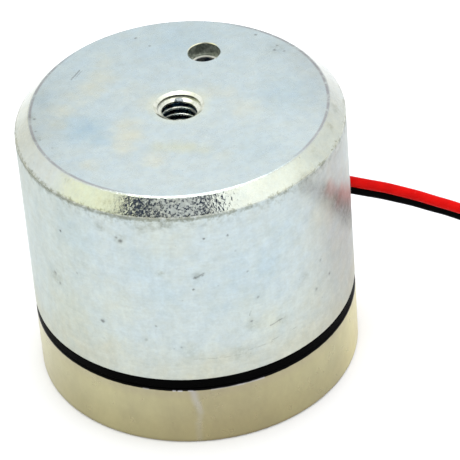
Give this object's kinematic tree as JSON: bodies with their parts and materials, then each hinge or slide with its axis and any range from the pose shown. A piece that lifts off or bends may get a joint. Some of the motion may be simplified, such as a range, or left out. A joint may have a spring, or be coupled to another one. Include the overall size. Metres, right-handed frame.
{
  "type": "holding electromagnet",
  "caption": "Round steel holding electromagnet with a chamfered back, centre thread, locating hole and side flying leads, standing on its keeper plate.",
  "frame": {"origin": "on the magnet's axis, at the surface that the keeper plate stands on", "axes": "+Z along the axis, from the keeper up through the mounting thread in the back face; +X towards the lead exit"},
  "size_m": [0.0619, 0.03, 0.0271],
  "materials": {
    "zinc_plate": "bright zinc plating on turned steel, bluish with faint warm clouds",
    "nickel_plate": "satin nickel plating, slightly yellow",
    "black_rubber": "moulded, satin",
    "epoxy": "cast, glossy",
    "insulating_paper": "pressed paper, matte",
    "nylon": "moulded, matte",
    "enamelled_copper": "varnished copper wire",
    "polyester_tape": "thin glossy film",
    "solder": "bright solder",
    "sleeving": "woven glass sleeving",
    "tinned_copper": "tinned strands",
    "red_insulation": "extruded PVC, satin",
    "black_insulation": "extruded PVC, satin",
    "tie_plastic": "flat plastic tie"
  },
  "bodies": {
    "keeper_side": {"keeper_disc": "nickel_plate", "lead_coil": "red_insulation", "red_tail": "red_insulation", "black_tail": "black_insulation", "red_tip": "tinned_copper", "black_tip": "tinned_copper", "coil_tie_1": "tie_plastic", "coil_tie_2": "tie_plastic"},
    "magnet": {"housing": "zinc_plate", "rim_ring": "black_rubber", "potting_ring": "epoxy", "face_washer": "insulating_paper", "bobbin": "nylon", "coil_winding": "enamelled_copper", "coil_tape": "polyester_tape", "back_washer": "insulating_paper", "start_tail": "enamelled_copper", "finish_tail": "enamelled_copper", "start_joint": "solder", "finish_joint": "solder", "start_sleeve": "sleeving", "finish_sleeve": "sleeving", "red_inner_end": "tinned_copper", "black_inner_end": "tinned_copper", "lead_seal": "epoxy", "lead_red": "red_insulation", "lead_black": "black_insulation"}
  },
  "joints": [
    {"name": "keeper_gap", "type": "slide", "parent": "keeper_side", "child": "magnet", "axis": [0, 0, 1], "range_m": [0, 0.01]}
  ]
}
